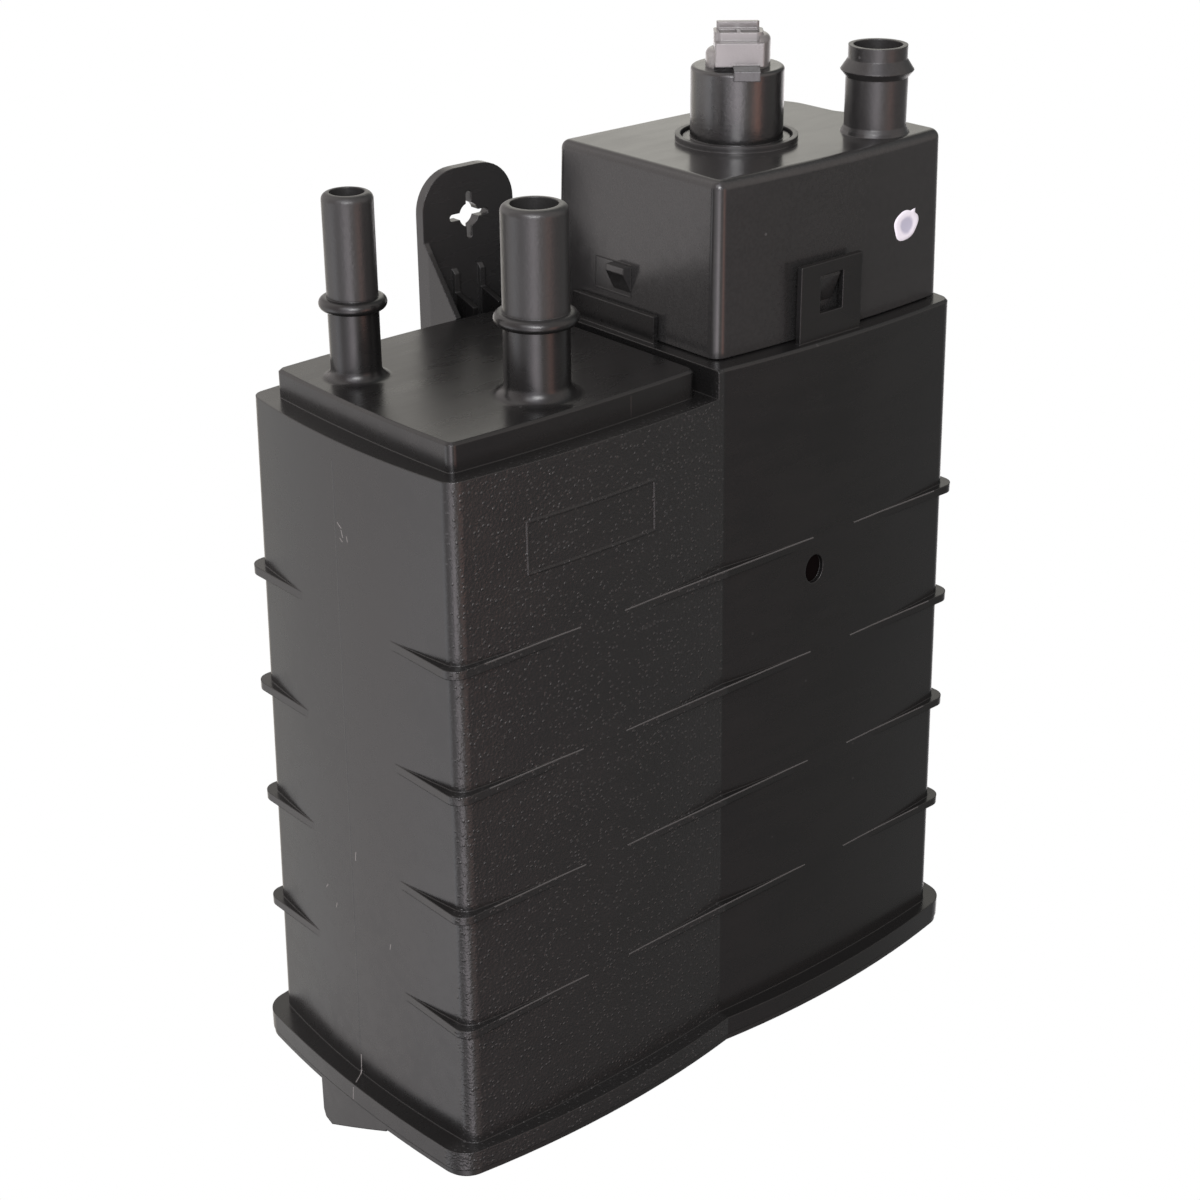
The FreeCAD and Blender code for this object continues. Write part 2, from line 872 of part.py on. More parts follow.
def make_vent_box():
    """The vent box: a snap-on housing with a hose barb and a round collar for the solenoid."""
    outer = box_solid(0, box_low, box_top)
    top_corner = box_corner - box_inset(box_top) / 2
    outer = outer.makeFillet(min(box_top_round, top_corner - stop_gap), top_edges(outer, box_top))
    hollow = box_solid(box_wall, box_low - ground_reach, box_top - box_wall)
    foot_top = box_low + box_foot_height
    foot = box_solid(box_wall / 2, box_low, foot_top)
    foot = foot.cut(box_solid(box_foot_width, box_low - ground_reach, foot_top + ground_reach))
    collar = rod(valve_x, valve_y, collar_radius, box_top - box_wall / 2, box_top + collar_height)
    front_wedge = make_wedge(front_wedge_width, front_wedge_height, front_wedge_out, front_wedge_lip)
    wedge_z = high_top + strap_window_low + strap_window_height - front_wedge_height - fit_gap
    strap_middle = strap_left + strap_width / 2
    front_wedge.translate(point(strap_middle, box_front - box_bow + box_inset(wedge_z), wedge_z))
    side_wedge = make_wedge(side_wedge_width, side_wedge_height, side_wedge_out, side_wedge_lip)
    side_wedge.rotate(point(0, 0, 0), point(0, 0, 1), -90)
    side_z = high_top + side_wedge_low
    side_wedge.translate(point(box_left + box_inset(side_z), side_wedge_y, side_z))
    shell = outer.cut(hollow).fuse([foot, collar, make_barb(), front_wedge, side_wedge])
    groove = gasket_ring(groove_inset, groove_width, box_low - ground_reach, box_low + groove_depth)
    cuts = [
        groove,
        rod(barb_x, barb_y, barb_bore, box_top - 2 * box_wall, box_top + barb_length + ground_reach),
        rod(valve_x, valve_y, holder_radius + hole_gap, box_top - 2 * box_wall, box_top + ground_reach),
        rod(valve_x, valve_y, collar_radius - collar_wall, box_top, box_top + collar_height + ground_reach),
    ]
    for cut in cuts:
        shell = shell.cut(cut)
    return shell.removeSplitter()


def gasket_ring(inset, width, z_low, z_high):
    outer = prism(box_outline(inset, z_low), z_high - z_low)
    return outer.cut(prism(box_outline(inset + width, z_low), z_high - z_low))


def make_gasket():
    return gasket_ring(groove_inset + seal_gap, groove_width - 2 * seal_gap, high_top, box_low + groove_depth)


def make_vent_filter():
    """The foam block between the barb and the valve."""
    left = valve_x + collar_radius + filter_thickness
    right = box_right - box_step - box_foot_width - filter_thickness
    front = box_front + box_foot_width + filter_thickness
    back = box_back - box_back_corner
    return block(left, right, front, back, high_top, box_top - box_wall - filter_thickness)


def turn_connector(shape):
    shape.rotate(point(0, 0, 0), point(0, 0, 1), connector_turn)
    shape.translate(point(valve_x, valve_y, 0))
    return shape


def rounded_bar(x_half, y_low, y_high, radius, z_low, z_high):
    solid = block(-x_half, x_half, y_low, y_high, z_low, z_high)
    upright = [edge for edge in solid.Edges if edge.BoundBox.ZLength > (z_high - z_low) / 2]
    return solid.makeFillet(radius, upright)


def blades():
    """The two terminal blades."""
    made = []
    middle_y = -shroud_front + (shroud_depth - rim_depth) / 2
    bottom = holder_high + shroud_height - socket_drop - blade_root
    top = holder_high + shroud_height - socket_drop + blade_up
    for side in (-1, 1):
        x = side * (socket_rib + socket_width) / 2
        made.append(block(x - blade_width / 2, x + blade_width / 2,
                          middle_y - blade_thickness / 2, middle_y + blade_thickness / 2,
                          bottom, top))
    return made


def make_terminals():
    return turn_connector(Part.makeCompound(blades()))


def make_connector():
    """The connector on top of the solenoid, before its sockets are cut."""
    base = holder_high - holder_round
    low = rod(0, 0, tower_radius, base, holder_high + tower_height)
    low = low.makeFillet(tower_round, top_edges(low, holder_high + tower_height))
    low = low.cut(block(-block_width / 2, block_width / 2, -far, -block_front + block_depth,
                        holder_high, holder_high + far))
    side_top = holder_high + tower_side_height
    side = rod(0, 0, tower_radius, base, side_top)
    side = side.makeFillet(tower_round, top_edges(side, side_top))
    side = side.common(block(block_width / 2 - wall / 2, far, -far, far, base, side_top))
    latch = rounded_bar(block_width / 2, -block_front, -block_front + block_depth, tip_round / 4,
                        holder_high + block_low, holder_high + block_low + block_height)
    shroud = rounded_bar(shroud_width / 2, -shroud_front, -shroud_front + shroud_depth, shroud_radius,
                         base, holder_high + shroud_height)
    rim_low = -shroud_front + shroud_depth - rim_depth
    rim = rounded_bar(rim_width / 2, rim_low, rim_low + rim_depth, rim_depth / 3,
                      base, holder_high + rim_height)
    ramp_front = -holder_radius - ramp_out
    ramp_side = [(0, 0), (ramp_front, -ramp_drop / 3), (ramp_front, -ramp_drop), (0, -ramp_drop)]
    ramp = plate_in_yz(ramp_side, ramp_x - ramp_width / 2, ramp_width)
    ramp.translate(point(0, 0, holder_high + ramp_rise))
    solid = low.fuse([side, latch, shroud, rim, ramp])
    socket_low = holder_high + shroud_height - socket_drop
    socket_y = -shroud_front + (shroud_depth - rim_depth - socket_depth) / 2
    for side in (-1, 1):
        x = side * (socket_rib + socket_width) / 2
        solid = solid.cut(block(x - socket_width / 2, x + socket_width / 2, socket_y, socket_y + socket_depth,
                                socket_low, holder_high + far))
    for blade in blades():
        solid = solid.cut(blade)
    return turn_connector(solid)


def make_solenoid_holder():
    """The plastic holder of the solenoid, with the flange that seats in the collar."""
    x = valve_x
    y = valve_y
    holder = rod(x, y, holder_radius, holder_low, holder_high)
    holder = holder.makeFillet(holder_round, top_edges(holder, holder_high))
    flange = rod(x, y, holder_radius + holder_flange, box_top, box_top + holder_flange_height)
    groove_z = box_top - ring_below
    groove = tube(x, y, ring_inner(), holder_radius + ground_reach,
                  groove_z - ring_wire, groove_z + ring_wire)
    holder = holder.cut(groove).fuse([flange, make_connector()])
    holder = holder.cut(rod(x, y, can_radius + can_gap, can_low, can_high))
    holder = holder.cut(rod(x, y, can_radius - can_wall, holder_low - ground_reach, can_low))
    return holder.removeSplitter()


def ring_inner():
    return holder_radius + hole_gap - 2 * ring_wire


def make_o_ring():
    radius = ring_inner() + ring_wire
    ring = Part.makeTorus(radius, ring_wire - stop_gap / 2)
    ring.translate(point(valve_x, valve_y, box_top - ring_below))
    return ring


def make_can():
    """The steel can round the coil."""
    can = rod(valve_x, valve_y, can_radius, can_low, can_high)
    return can.cut(rod(valve_x, valve_y, can_radius - can_wall, can_low, can_high - can_plate))


def make_end_plate():
    return tube(valve_x, valve_y, core_radius + stop_gap, can_radius - can_wall - stop_gap,
                can_low, can_low + end_plate)


def make_bobbin():
    low = can_low + end_plate
    high = can_high - can_plate
    barrel = tube(valve_x, valve_y, bobbin_bore, bobbin_bore + bobbin_wall, low, high)
    edge = can_radius - can_wall - stop_gap
    ends = [
        tube(valve_x, valve_y, bobbin_bore, edge, low, low + bobbin_flange),
        tube(valve_x, valve_y, bobbin_bore, edge, high - bobbin_flange, high),
    ]
    return barrel.fuse(ends).removeSplitter()


def make_winding():
    low = can_low + end_plate + bobbin_flange
    high = can_high - can_plate - bobbin_flange
    inner = bobbin_bore + bobbin_wall
    return tube(valve_x, valve_y, inner, inner + winding_build, low, high)


def make_core():
    """The fixed pole piece, with the pocket of the return spring."""
    core = tube(valve_x, valve_y, stem_radius + stem_gap, core_radius, can_low, core_top)
    return core.cut(rod(valve_x, valve_y, spring_pocket_radius, core_top - spring_pocket_depth, core_top))


def make_plunger():
    """The sliding iron: body, stem, shoulder above the seal disc and head below it."""
    disc_high = disc_low + seal_disc_thickness
    parts = [
        rod(valve_x, valve_y, stem_radius, disc_low - stem_head_height, plunger_low + bobbin_wall),
        rod(valve_x, valve_y, stem_shoulder, disc_high, disc_high + stem_shoulder_height),
        rod(valve_x, valve_y, stem_head, disc_low - stem_head_height, disc_low),
    ]
    iron = rod(valve_x, valve_y, bobbin_bore - running_gap, plunger_low, plunger_low + plunger_length)
    return iron.fuse(parts).removeSplitter()


def make_seal_disc():
    return tube(valve_x, valve_y, stem_radius + stop_gap, seal_disc_radius, disc_low,
                disc_low + seal_disc_thickness)


def make_return_spring():
    radius = (stem_radius + spring_pocket_radius) / 2
    return make_coil(valve_x, valve_y, radius, spring_wire, spring_turns,
                     core_top - spring_pocket_depth + stop_gap, plunger_low - stop_gap)


def save(name, shape):
    placed = shape.copy()
    placed.translate(point(0, shift_y, 0))
    placed.exportStep("parts/" + name + ".step")
    solids = len(placed.Solids)
    print(name, "solids", solids, "valid", placed.isValid(), "volume", round(placed.Volume, 1))


os.makedirs("parts", exist_ok=True)
save("canister_body", make_body())
save("bottom_cover", make_cover())
for side, place in ((-1, "tank"), (1, "air")):
    save("carbon_bed_" + place, make_bed(side))
    save("top_filter_" + place, make_top_filter(side))
    save("low_filter_" + place, make_low_filter(side))
    save("press_plate_" + place, make_press_plate(side))
    save("bed_spring_" + place, make_bed_spring(side))
save("vent_box", make_vent_box())
save("vent_box_gasket", make_gasket())
save("vent_filter", make_vent_filter())
save("solenoid_holder", make_solenoid_holder())
save("connector_terminals", make_terminals())
save("holder_o_ring", make_o_ring())
save("solenoid_can", make_can())
save("can_end_plate", make_end_plate())
save("coil_bobbin", make_bobbin())
save("coil_winding", make_winding())
save("pole_core", make_core())
save("plunger", make_plunger())
save("plunger_seal", make_seal_disc())
save("return_spring", make_return_spring())
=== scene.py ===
import math

import bpy
from mathutils import Matrix, Vector
from mathutils.bvhtree import BVHTree


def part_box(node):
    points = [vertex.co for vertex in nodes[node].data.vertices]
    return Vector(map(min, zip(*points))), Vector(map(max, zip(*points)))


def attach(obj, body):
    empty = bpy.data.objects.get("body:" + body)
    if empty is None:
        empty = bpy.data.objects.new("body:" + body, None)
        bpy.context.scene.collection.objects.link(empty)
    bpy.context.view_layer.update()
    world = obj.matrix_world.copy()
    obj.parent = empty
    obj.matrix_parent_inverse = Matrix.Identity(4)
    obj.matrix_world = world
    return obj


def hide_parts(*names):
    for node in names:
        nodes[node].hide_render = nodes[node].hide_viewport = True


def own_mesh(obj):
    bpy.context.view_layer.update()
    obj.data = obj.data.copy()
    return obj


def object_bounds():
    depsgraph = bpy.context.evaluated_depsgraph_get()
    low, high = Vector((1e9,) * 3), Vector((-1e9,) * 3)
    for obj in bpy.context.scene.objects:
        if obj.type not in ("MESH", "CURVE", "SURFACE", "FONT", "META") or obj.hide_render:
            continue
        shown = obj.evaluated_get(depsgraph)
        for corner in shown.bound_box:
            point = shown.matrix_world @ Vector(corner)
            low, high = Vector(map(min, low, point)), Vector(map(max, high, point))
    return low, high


# Charcoal canister in black moulded plastic, on a white studio floor. Metres, +Z up.

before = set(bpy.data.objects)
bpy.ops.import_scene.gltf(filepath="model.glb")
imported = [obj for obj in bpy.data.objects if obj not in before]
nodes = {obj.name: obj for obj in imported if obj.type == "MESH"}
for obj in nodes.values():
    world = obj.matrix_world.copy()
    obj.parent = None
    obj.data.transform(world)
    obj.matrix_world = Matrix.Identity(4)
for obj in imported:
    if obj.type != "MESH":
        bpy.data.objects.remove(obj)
cad_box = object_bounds()
MM = 0.001

# Camera, as the photograph was taken
camera_azimuth = -41.034
camera_elevation = 25.178
camera_roll = -0.396
camera_place = (-0.35008, -0.39682, 0.37664)
camera_lens = 66.995
sensor_width = 36.0

# Ways to look at the walls, and how far away a wall is looked for
to_right = (1, 0, 0)
to_back = (0, 1, 0)
to_below = (0, 0, -1)
search_reach = 0.12

# Heights above which the hose ports are grained and the vent box is duller, and the band of the change
port_bead_height = 0.2215
box_top_height = 0.2456
height_band = 0.3 * MM

# The connector's paler plastic: where it starts, the way it faces, its reach from the solenoid's middle
connector_height = 0.2632
connector_facing = (-0.656, -0.755)
block_reach = 0.00745
block_band = 0.2 * MM
connector_dark = (0.12, 0.114, 0.112)
connector_light = (0.20, 0.19, 0.188)

# The mounting tab behind the body: its front face, and the height where its paler tone starts
tab_front = 0.0440
tab_band = 0.5 * MM
tab_foot = 0.10

# Coarse grain on the left half of the front wall: how far behind the front it goes, and the band at its side
coarse_depth = 8 * MM
coarse_end = 12 * MM
coarse_band = 0.8 * MM
dot_spacing = 0.0012
lump_size = 0.0007
coarse_height = 11.0
# Tint of the grain's dots, which paints glints on them, and the paler tone of the whole grain
dot_glint_tint = 3.5
coarse_tint = 0.35

# Black plastic: sizes of its clouds, streaks, sparkle and specks, and how strongly they show
cloud_size = 0.03
streak_size = 0.0035
streak_stretch = (0.2, 1.0, 1.0)
gloss_swing = 0.05
fine_tint = 0.1
sparkle_size = 0.0009
sparkle_height = 5.0
speck_spacing = 0.010
speck_reach = (0.022, 0.04)
speck_choice = 0.68
speck_tint = 9.0
dark_parts = (1.0, 0.98, 0.97)
pale_parts = (3.0, 2.97, 2.94)

# Radii by which edges look rounded
plastic_edge = 0.4 * MM
paint_edge = 0.3 * MM
plain_edge = 0.2 * MM

# The mould's parting line down the left end wall, in millimetres
parting_y = 0.3
parting_top = 190
parting_foot = 21.5

# Upper edges of the front ribs, where pale lines stand for a painted highlight, and the spans along which
# they show, in millimetres
rib_top = 54.60
rib_pitch = 32.0
rib_count = 4
rib_spans = [(-76, -47.5), (-34, 30), (44.7, 76)]

# Ends of the pale scuffs on the left end wall, in millimetres
scuff_ends = [
    ((0, -0.6, 174.6), (0, -2.2, 173.6)),
    ((0, -2.0, 173.2), (0, -2.6, 171.4)),
    ((0, -1.4, 171.0), (0, -2.4, 170.2)),
    ((0, -4.0, 172.2), (0, -4.4, 170.8)),
    ((0, -1.8, 87.2), (0, -1.5, 84.6)),
    ((0, -14.6, 66.6), (0, -14.2, 64.8)),
    ((0, 12.6, 70.2), (0, 11.6, 71.6)),
    ((0, 8.2, 66.4), (0, 7.8, 68.0)),
]

# Corners of the ridges round the side wedge, and ends of the line on the pad, in millimetres
wedge_corners = [(0, 8.8, 218.6), (0, -4.3, 218.6), (0, -4.3, 210.6), (0, 8.8, 210.6)]
pad_line_ends = [(-26.1, 0, 200.6), (-26.1, 0, 195.4)]

# Dab of paint on the vent box: its shape, its tail, and its thickness in millimetres
dab_x = 0.0672
dab_z = 0.2230
dab_half_width = 0.0048
dab_half_height = 0.0038
tail_angle = 0.95
tail_spread = 0.12
tail_reach = 0.3
dab_middle = 0.10
dab_rim = 0.25
thin_paint = (0.40, 0.40, 0.49)
thick_paint = (0.68, 0.67, 0.73)
thin_reach = 2.3 * MM
thick_reach = 3.5 * MM
paint_cloud = 0.003

# Oval recess in the front wall, and a dark disc on its floor that paints the recess's shade
dimple_x = 0.0306
dimple_z = 0.1419
dimple_half_width = 0.0031
dimple_half_height = 0.00385
dimple_inset = 0.08 * MM
dimple_lift = 0.03 * MM

# Surroundings that the plastic reflects: share of a full turn from -X, anticlockwise, and light there.
# The floor and walls below eye level come first, then the ceiling and walls above it.
low_light = [
    (0.00, (0.85, 0.78, 0.78)),
    (0.06, (1.40, 1.37, 1.42)),
    (0.09, (2.20, 2.00, 2.10)),
    (0.12, (4.00, 3.70, 3.90)),
    (0.15, (3.60, 3.35, 3.50)),
    (0.19, (0.50, 0.50, 0.45)),
    (0.25, (1.20, 0.95, 0.90)),
    (0.31, (0.26, 0.24, 0.26)),
    (0.37, (0.20, 0.20, 0.19)),
    (0.50, (0.35, 0.35, 0.36)),
    (0.57, (2.20, 2.10, 2.10)),
    (0.66, (2.00, 1.95, 2.00)),
    (0.75, (0.95, 0.87, 0.75)),
    (0.80, (0.86, 0.86, 0.86)),
    (0.87, (1.42, 1.33, 1.32)),
    (0.94, (2.20, 2.20, 2.30)),
]
high_light = [
    (0.00, (0.70, 0.60, 0.60)),
    (0.12, (2.00, 1.90, 2.10)),
    (0.22, (0.70, 0.65, 0.65)),
    (0.36, (0.95, 0.86, 0.82)),
    (0.48, (0.28, 0.30, 0.30)),
    (0.56, (0.15, 0.15, 0.14)),
    (0.63, (1.20, 1.17, 1.08)),
    (0.70, (0.66, 0.61, 0.60)),
    (0.82, (1.45, 1.36, 1.33)),
]
eye_level = (-0.28, 0.12)

# Light from straight below, and a warm panel: where it rises and falls round the turn and in height
under_light = (0.1, 0.1, 0.1)
under_level = (-0.72, -0.58)
warm_panel = (1.1, 0.40, 0.24)
warm_turn = (0.235, 0.260, 0.285, 0.305)
warm_height = (-0.42, -0.3, 0.05, 0.15)

# The floor's half width and its place under the feet, and the point that the lamps aim at
floor_half = 6.0
floor_height = -0.3 * MM
lamp_aim = (0, 0, 0.13)


def node(tree, kind, settings=None, **inputs):
    """A shader node with its settings and its sockets set or linked."""
    made = tree.nodes.new("ShaderNode" + kind)
    for name, value in (settings or {}).items():
        setattr(made, name, value)
    for name, value in inputs.items():
        plug(tree, made.inputs[name.replace("_", " ")], value)
    return made


def plug(tree, socket, value):
    """A socket is linked to another one, or set to a value."""
    if isinstance(value, bpy.types.NodeSocket):
        tree.links.new(value, socket)
    else:
        socket.default_value = value


def maths(tree, operation, first, second):
    made = node(tree, "Math", {"operation": operation})
    plug(tree, made.inputs[0], first)
    plug(tree, made.inputs[1], second)
    return made.outputs[0]


def plus(tree, first, second):
    return maths(tree, "ADD", first, second)


def times(tree, first, second):
    return maths(tree, "MULTIPLY", first, second)


def remap(tree, value, low, high, to_low=0.0, to_high=1.0):
    """A smooth step from to_low at low to to_high at high."""
    made = node(tree, "MapRange", {"interpolation_type": "SMOOTHSTEP"}, Value=value, From_Min=low,
                From_Max=high, To_Min=to_low, To_Max=to_high)
    return made.outputs["Result"]


def within(tree, value, rise_start, rise_end, fall_start, fall_end):
    """1 between a rise and a fall, and 0 outside them."""
    return times(tree, remap(tree, value, rise_start, rise_end),
                 remap(tree, value, fall_start, fall_end, 1.0, 0.0))


def noise(tree, place, size, detail=2.0):
    """Noise from 0 to 1 whose lumps are about size metres across."""
    return node(tree, "TexNoise", Vector=place, Scale=1 / size, Detail=detail).outputs["Fac"]


def cells_of(tree, place, size):
    """Cells about size metres across: how far their middles are, and a number that differs in each."""
    cells = node(tree, "TexVoronoi", Vector=place, Scale=1 / size)
    chance = node(tree, "SeparateColor", Color=cells.outputs["Color"]).outputs[0]
    return cells.outputs["Distance"], chance


def blend(tree, share, first, second, kind="MIX"):
    """A blend of two colours, each a socket or numbers."""
    made = node(tree, "Mix", {"data_type": "RGBA", "blend_type": kind}, Factor=share)
    ends = [socket for socket in made.inputs if socket.type == "RGBA"]
    for socket, colour in zip(ends, (first, second)):
        plug(tree, socket, (*colour, 1) if isinstance(colour, tuple) else colour)
    return next(socket for socket in made.outputs if socket.type == "RGBA")


def start_material(name):
    made = bpy.data.materials.new(name)
    made.use_nodes = True
    tree = made.node_tree
    tree.nodes.clear()
    shader = node(tree, "BsdfPrincipled")
    node(tree, "OutputMaterial", Surface=shader.outputs["BSDF"])
    return made, tree, shader


def finish_normal(tree, shader, height, depth, edge):
    """Bump of the given depth over edges that look rounded."""
    rounded = node(tree, "Bevel", {"samples": 6}, Radius=edge).outputs["Normal"]
    bump = node(tree, "Bump", Height=height, Distance=depth, Strength=1.0, Normal=rounded)
    tree.links.new(bump.outputs["Normal"], shader.inputs["Normal"])


def front_left_share(tree, place):
    """1 on the left half of the body's front wall, where the mould is coarse, and 0 elsewhere."""
    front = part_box("canister_body")[0].y
    parts = node(tree, "SeparateXYZ", Vector=place).outputs
    left = remap(tree, parts["X"], -coarse_band, coarse_band, 1.0, 0.0)
    wall = remap(tree, parts["Y"], front + coarse_end, front + coarse_depth)
    return times(tree, left, wall)


def above_share(tree, place, height):
    """0 below a height and 1 above it."""
    up = node(tree, "SeparateXYZ", Vector=place).outputs["Z"]
    return remap(tree, up, height - height_band, height + height_band)


def block_share(tree, place, height):
    """1 on the connector above a height, but 0 on the ramp that stands before it."""
    low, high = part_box("solenoid_can")
    facing = Vector((*connector_facing, 0))
    ramp_start = (low + high).dot(facing) / 2 + block_reach
    ahead = node(tree, "VectorMath", {"operation": "DOT_PRODUCT"}, Vector=place)
    ahead.inputs[1].default_value = facing
    behind = remap(tree, ahead.outputs["Value"], ramp_start, ramp_start + block_band, 1.0, 0.0)
    return times(tree, above_share(tree, place, height), behind)


def tab_share(tree, place):
    """1 on the mounting tab, which stands behind the body, and 0 in front of it."""
    back = node(tree, "SeparateXYZ", Vector=place).outputs["Y"]
    return remap(tree, back, tab_front - tab_band, tab_front)


def coarse_grain_and_glints(tree, place):
    """Height of the dots and lumps where the mould is coarse, and their tint: a paler grain tone, with the
    dots made pale as painted glints.
    """
    share = front_left_share(tree, place)
    distance, chance = cells_of(tree, place, dot_spacing)
    dots = times(tree, remap(tree, distance, 0.15, 0.35, 1.0, 0.0), remap(tree, chance, 0.1, 0.8))
    lumps = plus(tree, dots, noise(tree, place, lump_size, 3.0))
    # The dots are made pale as painted glints, over the grain's paler tone
    grain_tint_with_glints = plus(tree, times(tree, dots, dot_glint_tint), coarse_tint)
    return times(tree, times(tree, lumps, share), coarse_height), times(tree, grain_tint_with_glints, share)


def specks(tree, place):
    """Tint of a few pale specks."""
    distance, chance = cells_of(tree, place, speck_spacing)
    spots = remap(tree, distance, *speck_reach, 1.0, 0.0)
    chosen = maths(tree, "GREATER_THAN", chance, speck_choice)
    return times(tree, times(tree, spots, chosen), speck_tint)


def black_plastic(name, roughness=0.30, tone=0.010, grain=0.0006, depth=0.000012, shine=0.5,
                  coarse=False, rough_above=None, rougher=0.08, paler=0.0, pale_above=None):
    """Black moulded plastic: fine grain, uneven gloss, faint flow streaks and a few pale specks."""
    made, tree, shader = start_material(name)
    place = node(tree, "TexCoord").outputs["Object"]
    cloud = noise(tree, place, cloud_size, 4.0)
    streak_place = node(tree, "Mapping", Vector=place, Scale=streak_stretch).outputs["Vector"]
    streak = noise(tree, streak_place, streak_size, 3.0)
    uneven = plus(tree, times(tree, cloud, 0.6), times(tree, streak, 0.4))
    gloss = remap(tree, uneven, 0.3, 0.7, roughness - gloss_swing, roughness + gloss_swing)
    height = noise(tree, place, grain, 3.0)
    tint = remap(tree, height, 0.3, 0.7, 0.0, fine_tint)
    if coarse:
        coarse_lift, coarse_tint_with_glints = coarse_grain_and_glints(tree, place)
        height = plus(tree, height, coarse_lift)
        tint = plus(tree, tint, coarse_tint_with_glints)
    if rough_above is not None:
        tab = tab_share(tree, place)
        upper = times(tree, above_share(tree, place, rough_above), maths(tree, "SUBTRACT", 1.0, tab))
        shown = plus(tree, upper, times(tree, tab, above_share(tree, place, tab_foot)))
        sparkle = times(tree, noise(tree, place, sparkle_size, 4.0), upper)
        gloss = plus(tree, gloss, times(tree, upper, rougher))
        tint = plus(tree, tint, times(tree, shown, paler))
        height = plus(tree, height, times(tree, sparkle, sparkle_height))
    tint = plus(tree, tint, specks(tree, place))
    dark = tuple(tone * part for part in dark_parts)
    pale = tuple(tone * part for part in pale_parts)
    colour = blend(tree, tint, dark, pale)
    if pale_above is not None:
        grey = blend(tree, remap(tree, cloud, 0.3, 0.7), connector_dark, connector_light)
        colour = blend(tree, block_share(tree, place, pale_above), colour, grey)
    tree.links.new(gloss, shader.inputs["Roughness"])
    tree.links.new(colour, shader.inputs["Base Color"])
    shader.inputs["Specular IOR Level"].default_value = shine
    finish_normal(tree, shader, height, depth, plastic_edge)
    return made


def plain(name, colour, roughness, metallic=0.0, grain=0.0006, depth=0.00001, shine=0.5):
    """A grained material for rubber, foam, carbon and metal, for scuffed plastic, and for painted highlight
    and painted shade on the plastic.
    """
    made, tree, shader = start_material(name)
    place = node(tree, "TexCoord").outputs["Object"]
    cloud = noise(tree, place, grain * 4, 3.0)
    gloss = remap(tree, cloud, 0.3, 0.7, roughness - 0.06, roughness + 0.06)
    darker = tuple(part * 0.8 for part in colour)
    tree.links.new(gloss, shader.inputs["Roughness"])
    tree.links.new(blend(tree, cloud, darker, colour), shader.inputs["Base Color"])
    shader.inputs["Metallic"].default_value = metallic
    shader.inputs["Specular IOR Level"].default_value = shine
    finish_normal(tree, shader, noise(tree, place, grain), depth, plain_edge)
    return made


def paint():
    """White paint, greyer where it is thin in the middle of the dab."""
    made, tree, shader = start_material("white_paint")
    place = node(tree, "TexCoord").outputs["Object"]
    flat = node(tree, "Mapping", Vector=place, Location=(-dab_x, 0, -dab_z), Scale=(1, 0, 1))
    away = node(tree, "VectorMath", {"operation": "LENGTH"}, Vector=flat.outputs["Vector"])
    cloud = noise(tree, place, paint_cloud, 3.0)
    uneven = plus(tree, away.outputs["Value"], times(tree, cloud, 1.2 * MM))
    ring = remap(tree, uneven, thin_reach, thick_reach)
    tree.links.new(blend(tree, ring, thin_paint, thick_paint), shader.inputs["Base Color"])
    tree.links.new(remap(tree, cloud, 0.3, 0.7, 0.35, 0.5), shader.inputs["Roughness"])
    finish_normal(tree, shader, cloud, 0.05 * MM, paint_edge)
    return made


def dress():
    """Every CAD node gets its material."""
    inner = black_plastic("inner_plastic", roughness=0.45, tone=0.02)
    foam = plain("grey_foam", (0.06, 0.06, 0.06), 0.9, grain=0.001, depth=0.0003)
    carbon = plain("carbon_grains", (0.02, 0.02, 0.02), 0.6, grain=0.0024, depth=0.0012)
    steel = plain("plated_steel", (0.55, 0.55, 0.53), 0.28, metallic=1.0)
    looks = {
        "canister_body": black_plastic("body_plastic", roughness=0.27, tone=0.007, coarse=True,
                                       rough_above=port_bead_height, paler=0.9),
        "bottom_cover": black_plastic("cover_plastic", roughness=0.30),
        "vent_box": black_plastic("box_plastic", roughness=0.21, tone=0.018, grain=0.0009, depth=0.000006,
                                  rough_above=box_top_height, rougher=0.14),
        "solenoid_holder": black_plastic("holder_plastic", roughness=0.26, tone=0.008, grain=0.0008,
                                         depth=0.00004, shine=0.85, pale_above=connector_height),
        "connector_terminals": plain("tinned_brass", (0.7, 0.62, 0.42), 0.25, metallic=1.0),
        "vent_box_gasket": plain("seal_rubber", (0.015, 0.015, 0.015), 0.6),
        "holder_o_ring": plain("ring_rubber", (0.015, 0.015, 0.015), 0.5),
        "plunger_seal": plain("valve_rubber", (0.02, 0.012, 0.01), 0.6),
        "vent_filter": foam,
        "coil_bobbin": inner,
        "coil_winding": plain("copper_wire", (0.55, 0.2, 0.09), 0.3, metallic=1.0, grain=0.0005,
                              depth=0.0002),
        "return_spring": plain("spring_steel", (0.45, 0.45, 0.45), 0.25, metallic=1.0),
    }
    for place in ("tank", "air"):
        looks["carbon_bed_" + place] = carbon
        looks["top_filter_" + place] = foam
        looks["low_filter_" + place] = foam
        looks["press_plate_" + place] = inner
        looks["bed_spring_" + place] = steel
    for name, piece in nodes.items():
        piece.data.materials.clear()
        piece.data.materials.append(looks.get(name, steel))


def surface(name):
    """The shape of a CAD node, to place details on it."""
    mesh = nodes[name].data
    return BVHTree.FromPolygons([v.co for v in mesh.vertices], [p.vertices for p in mesh.polygons])


def on_wall(shape, start, end, way, count):
    """Points on a shape, found by looking along way through the spots from start to end, in millimetres."""
    path = []
    for index in range(count):
        share = index / (count - 1)
        spot = Vector(start) * MM * (1 - share) + Vector(end) * MM * share
        path.append(shape.ray_cast(spot - Vector(way) * search_reach, Vector(way))[0])
    return path


def on_front(shape, x, z):
    """The point of a shape's front at x and z, in metres."""
    return shape.ray_cast(Vector((x, cad_box[0].y - search_reach, z)), Vector(to_back))[0]


